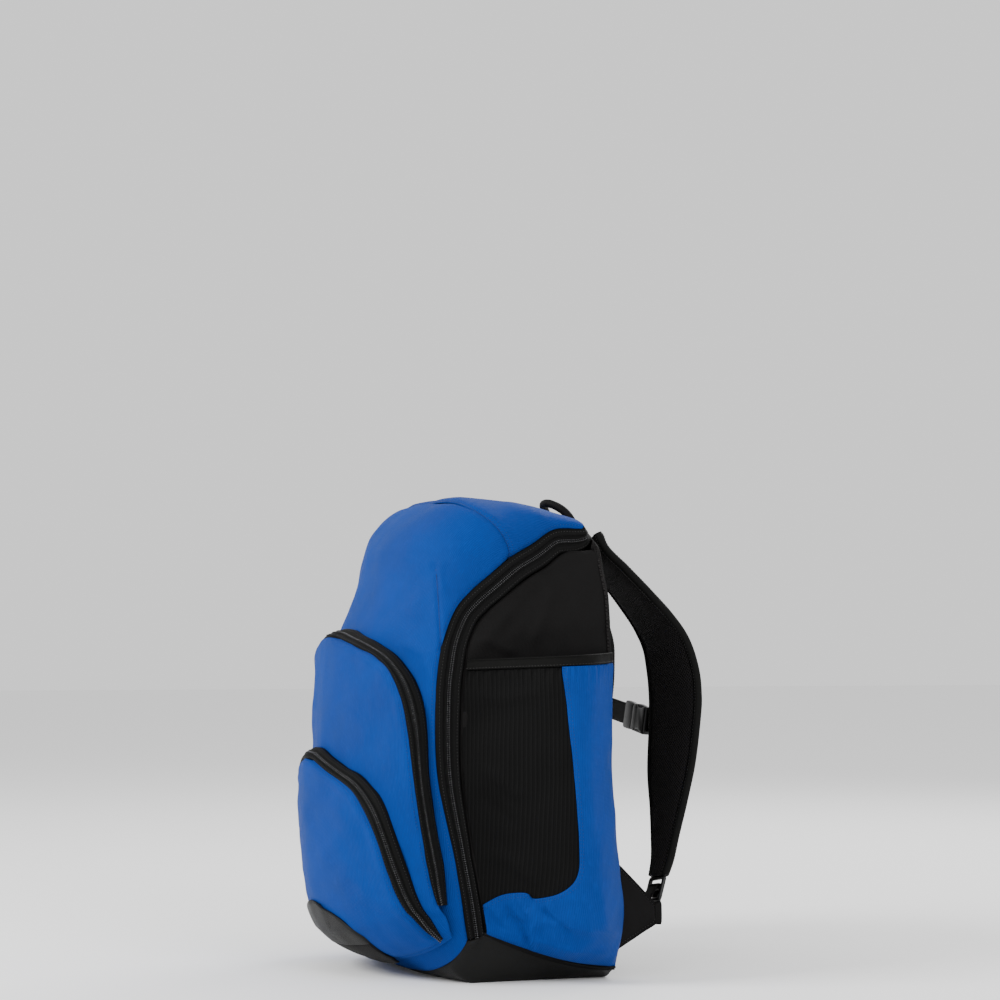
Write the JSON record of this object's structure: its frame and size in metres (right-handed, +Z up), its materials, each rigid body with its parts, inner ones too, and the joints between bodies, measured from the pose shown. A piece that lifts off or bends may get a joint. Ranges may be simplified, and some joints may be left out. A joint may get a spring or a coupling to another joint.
{
  "type": "baseball bat backpack",
  "caption": "Tall upright backpack with arched zip pockets stacked on its front, an open bat sleeve along each side, a haul handle and padded shoulder straps joined by a buckle.",
  "frame": {"origin": "on the flat underside of the base, midway between the sides, 95 mm in front of the back plane", "axes": "+Z up from the floor to the top; the front and its pockets face -Y, the back and shoulder straps face +Y; +X is the wearer's side that the picture shows"},
  "size_m": [0.3944, 0.341, 0.4295],
  "materials": {
    "blue_cloth": "royal blue woven polyester with a fine rib",
    "black_cloth": "black woven polyester",
    "mesh": "black fine-ribbed mesh cloth",
    "padded_mesh": "black air mesh over foam",
    "coated_cloth": "dark grey coated cloth",
    "zip": "black zip tape with a plastic coil",
    "webbing": "black woven webbing",
    "plastic": "black moulded plastic"
  },
  "bodies": {
    "root": {"back_panel": "padded_mesh", "base_panel": "coated_cloth", "buckle_plug": "plastic", "buckle_socket": "plastic", "front_guard": "coated_cloth", "front_panel": "blue_cloth", "haul_handle": "webbing", "ladder_lock_l": "plastic", "ladder_lock_r": "plastic", "lower_pocket_face": "blue_cloth", "lower_pocket_zip": "zip", "main_zip": "zip", "shoulder_strap_l": "padded_mesh", "shoulder_strap_r": "padded_mesh", "side_panel_l": "black_cloth", "side_panel_r": "black_cloth", "sleeve_binding_l": "webbing", "sleeve_binding_r": "webbing", "sleeve_mesh_l": "mesh", "sleeve_mesh_r": "mesh", "sleeve_panel_l": "blue_cloth", "sleeve_panel_r": "blue_cloth", "slider_lower": "plastic", "slider_main": "plastic", "slider_upper": "plastic", "sternum_webbing_l": "webbing", "sternum_webbing_r": "webbing", "strap_webbing_l": "webbing", "strap_webbing_r": "webbing", "top_panel": "blue_cloth", "upper_pocket_face": "blue_cloth", "upper_pocket_zip": "zip", "wing_l": "black_cloth", "wing_r": "black_cloth"}
  },
  "joints": []
}
